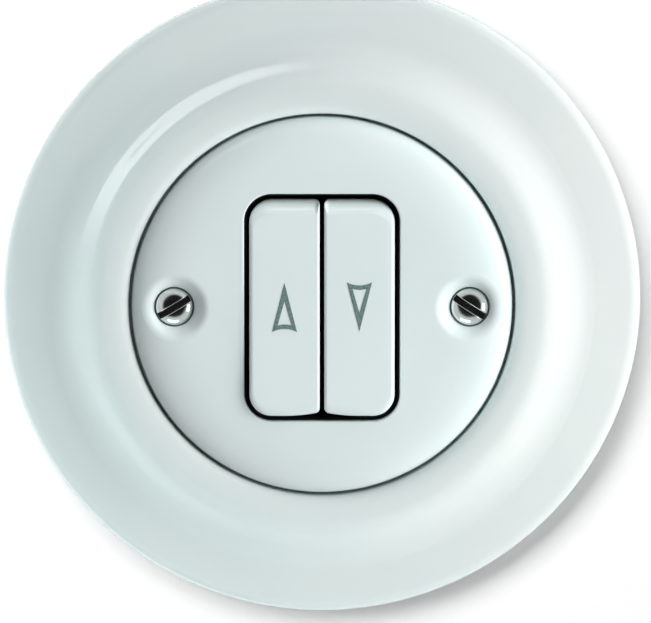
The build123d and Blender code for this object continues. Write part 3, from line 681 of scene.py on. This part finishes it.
# %% Loops of a rocker
def rocker_loops(half_width):
    """Loops from the hollow at the back, round the outside, to the flat face: (across, along, out)."""
    half = ROCKER_HALF_HEIGHT
    outline = rounded_outline(-half_width, half_width, -half, half, OUTLINE_RADII)
    flat = rounded_outline(
        -half_width + ROUND_WIDTH["outer"],
        half_width - ROUND_WIDTH["inner"],
        -half + ROUND_WIDTH["bottom"],
        half - ROUND_WIDTH["top"],
        FACE_RADII,
    )
    hollow_width, hollow_half = half_width - ROCKER_WALL, half - ROCKER_WALL
    hollow = rounded_outline(-hollow_width, hollow_width, -hollow_half, hollow_half, HOLLOW_RADII)
    edge = [point - BACK_EDGE * way for point, way in outline]
    loops = [
        [(*point, ROCKER_CEILING) for point, _ in hollow],
        [(*point, ROCKER_BACK) for point, _ in hollow],
        [(*bowed(point, half_width), ROCKER_BACK) for point in edge],
        [(*bowed(point, half_width), ROCKER_BACK + BACK_EDGE) for point, _ in outline],
    ]
    for step in range(RIM_STEPS + 1):
        ring = []
        for (outer, way), (inner, _) in zip(outline, flat):
            end = math.pi / 2 - CREASE * max(0.0, way.y) ** 2
            angle = end * step / RIM_STEPS
            inward = (1 - math.cos(angle)) / (1 - math.cos(end))
            drop = by_side(ROUND_DEPTH, way) * (1 - math.sin(angle) / math.sin(end))
            point = bowed(outer.lerp(inner, inward), half_width)
            ring.append((*point, ROCKER_FACE - drop))
        loops.append(ring)
    return loops


# %% Both rockers
def build_rocker(name, outward):
    low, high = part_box(name)
    joint = next(joint for joint in frame["joints"] if joint["child"] == name)
    centre_x = (low.x + high.x) / 2
    pivot = Vector((centre_x, joint["pos_m"][1], joint["pos_m"][2]))
    along = Vector((0, math.sin(ROCKER_TILT), math.cos(ROCKER_TILT)))
    out = Vector((0, -math.cos(ROCKER_TILT), math.sin(ROCKER_TILT)))
    across = Vector((-outward, 0, 0))
    placed = [
        [pivot + u * across + (v + ROCKER_SHIFT) * along + w * out for u, v, w in loop]
        for loop in rocker_loops((high.x - low.x) / 2)
    ]
    mesh = bmesh.new()
    rings = skin_loops(mesh, placed)
    for ring in (rings[0], rings[1], rings[-1]):
        sharpen(mesh, ring)
    return finished_piece(name + "_cap", mesh, porcelain_glaze, name, name)


rockers = [build_rocker("up_rocker", -1), build_rocker("down_rocker", 1)]

# %% [markdown]
# ## A strip for the rockers
# Each rocker has a bright line where its top end rolls over. No other lamp stands where that slope looks,
# so a thin strip above lights the two rockers alone, and is seen in their glaze.

# %% Rocker strip
rocker_strip = softbox("rocker_strip", azimuth=90, tilt=56, size=(0.08, 0.45), watts=0.4, shows=True)
link_light([rocker_strip], rockers, "INCLUDE")
print(rocker_strip.name, "lights", [rocker.name for rocker in rockers])

# %% [markdown]
# ## Cover screws
# The two screws have domed heads with a straight slot, left as the screwdriver left them, at different
# turns. A boolean slot has knife edges that never catch the light, so the head is woven from rows that run
# along the slot: rows on its floor, rows up its walls, a few that roll over the edge, and rows on the dome.
# The shank below is a lathe with a thread that winds once round for each pitch.

# %% Screw sizes
SCREW_TURNS = {-1: math.radians(31.0), 1: math.radians(-33.0)}
SLOT_HALF = 0.52 * MM
SLOT_DEPTH = 0.95 * MM
SLOT_EDGE = 0.11 * MM
HEAD_DOME = 1.15 * MM
HEAD_RIM = 0.8 * MM
DOME_FULLNESS = 2.2
SHANK_R = 1.5 * MM
THREAD_PITCH = 0.5 * MM
THREAD_HEIGHT = 0.27 * MM
RINGS_PER_PITCH = 5
EDGE_STEPS = 4
DOME_ROWS = 12
DOME_COLUMNS = 48

screw_low, screw_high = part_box("cover_screws")
HEAD_R = (screw_high.z - screw_low.z) / 2
SCREW_X = (screw_high.x - screw_low.x) / 2 - HEAD_R
HEAD_TOP = -screw_low.y
RIM_TOP = HEAD_TOP - HEAD_DOME
HEAD_SEAT = RIM_TOP - HEAD_RIM
SHANK_TIP = -screw_high.y
print("screw heads", round(2 * HEAD_R / MM, 2), "mm across at x =", round(SCREW_X / MM, 2), "mm")


# %% Rows of a slotted head
def dome_level(radius):
    """Depth of the domed head at this radius."""
    share = min(1.0, radius / HEAD_R)
    return RIM_TOP + HEAD_DOME * math.sqrt(max(0.0, 1 - share**DOME_FULLNESS))


def head_rows():
    """Rows across half the head: distance from the slot's middle line, and drop below the dome.

    Rows on the slot's floor have no drop of their own.
    """
    floor_rows = [(0.0, None), (SLOT_HALF / 2, None), (SLOT_HALF, None)]
    edge_rows = []
    for step in range(EDGE_STEPS + 1):
        angle = math.pi / 2 * step / EDGE_STEPS
        edge_rows.append((SLOT_HALF + SLOT_EDGE * (1 - math.cos(angle)), SLOT_EDGE * (1 - math.sin(angle))))
    start = math.asin((SLOT_HALF + SLOT_EDGE) / HEAD_R)
    dome_rows = []
    for step in range(1, DOME_ROWS + 1):
        angle = start + (math.pi / 2 - start) * step / DOME_ROWS
        dome_rows.append((HEAD_R * math.sin(angle), 0.0))
    return floor_rows + edge_rows + dome_rows


def head_grid():
    """Rows of (along, across, depth) points over the whole head."""
    half = head_rows()
    rows = [(-across, drop) for across, drop in half[:0:-1]] + half
    slot_floor = HEAD_TOP - SLOT_DEPTH
    grid = []
    for across, drop in rows:
        reach = math.sqrt(max(0.0, HEAD_R**2 - across**2))
        row = []
        for column in range(DOME_COLUMNS + 1):
            along = -reach * math.cos(math.pi * column / DOME_COLUMNS)
            top = dome_level(math.hypot(along, across))
            bottom = min(slot_floor, top)
            depth = bottom if drop is None else max(bottom, top - drop)
            row.append((along, across, depth))
        grid.append(row)
    return grid


# %% One screw from rows and rings
def thread_radius(depth, angle):
    """Radius of the shank, with a ridge that climbs one pitch each turn."""
    phase = (depth / THREAD_PITCH + angle / math.tau) % 1.0
    return SHANK_R - THREAD_HEIGHT * abs(2 * phase - 1)


def add_screw(mesh, side):
    turn = SCREW_TURNS[side]

    def place(along, across, depth):
        x = side * SCREW_X + along * math.cos(turn) - across * math.sin(turn)
        z = along * math.sin(turn) + across * math.cos(turn)
        return Vector((x, -depth, z))

    grid = head_grid()
    woven = [[mesh.verts.new(place(*point)) for point in row] for row in grid]
    for low, high in zip(woven, woven[1:]):
        for i in range(DOME_COLUMNS):
            mesh.faces.new((low[i], low[i + 1], high[i + 1], high[i]))
    rim = [row[-1] for row in grid] + [row[0] for row in grid[::-1]]
    angles = [math.atan2(across, along) for along, across, _ in rim]
    rings = [[row[-1] for row in woven] + [row[0] for row in woven[::-1]]]
    length = HEAD_SEAT - SHANK_TIP
    steps = math.ceil(length / (THREAD_PITCH / RINGS_PER_PITCH))
    turned = [[(HEAD_R, HEAD_SEAT)] * len(angles)]
    for step in range(steps + 1):
        level = HEAD_SEAT - length * step / steps
        turned.append([(thread_radius(level, angle), level) for angle in angles])
    for ring in turned:
        rings.append([
            mesh.verts.new(place(radius * math.cos(angle), radius * math.sin(angle), depth))
            for (radius, depth), angle in zip(ring, angles)
        ])
    for low, high in zip(rings, rings[1:]):
        for i in range(len(angles)):
            mesh.faces.new((low[i - 1], low[i], high[i], high[i - 1]))
    mesh.faces.new(rings[-1])


# %% Both screws
WELD = 0.0005 * MM
SHARP_ANGLE = math.radians(40)

screws = bmesh.new()
for side in SCREW_TURNS:
    add_screw(screws, side)
bmesh.ops.remove_doubles(screws, verts=screws.verts, dist=WELD)
bmesh.ops.dissolve_degenerate(screws, edges=screws.edges, dist=WELD)
for edge in screws.edges:
    edge.smooth = len(edge.link_faces) == 2 and edge.calc_face_angle() < SHARP_ANGLE
screw_pair = finished_piece(
    "slotted_screws", screws, screw_plating, "switch_base", "cover_screws"
)

# %% [markdown]
# ## Glints on the screws
# Each polished head has a bright glint at its lower edge and one on the right. They are mirror images of
# lamps, so two small boxes stand where those parts of the dome look, and light nothing else.

# %% Screw lamps
screw_lamps = [
    softbox("screw_right", azimuth=-12, tilt=50, size=(0.3, 0.4), watts=1.1, shows=True),
    softbox("screw_low", azimuth=-100, tilt=60, size=(0.1, 0.16), watts=0.13, distance=0.3, shows=True),
]
link_light(screw_lamps, [screw_pair], "INCLUDE")
print("screw lamps:", [box.name for box in screw_lamps])
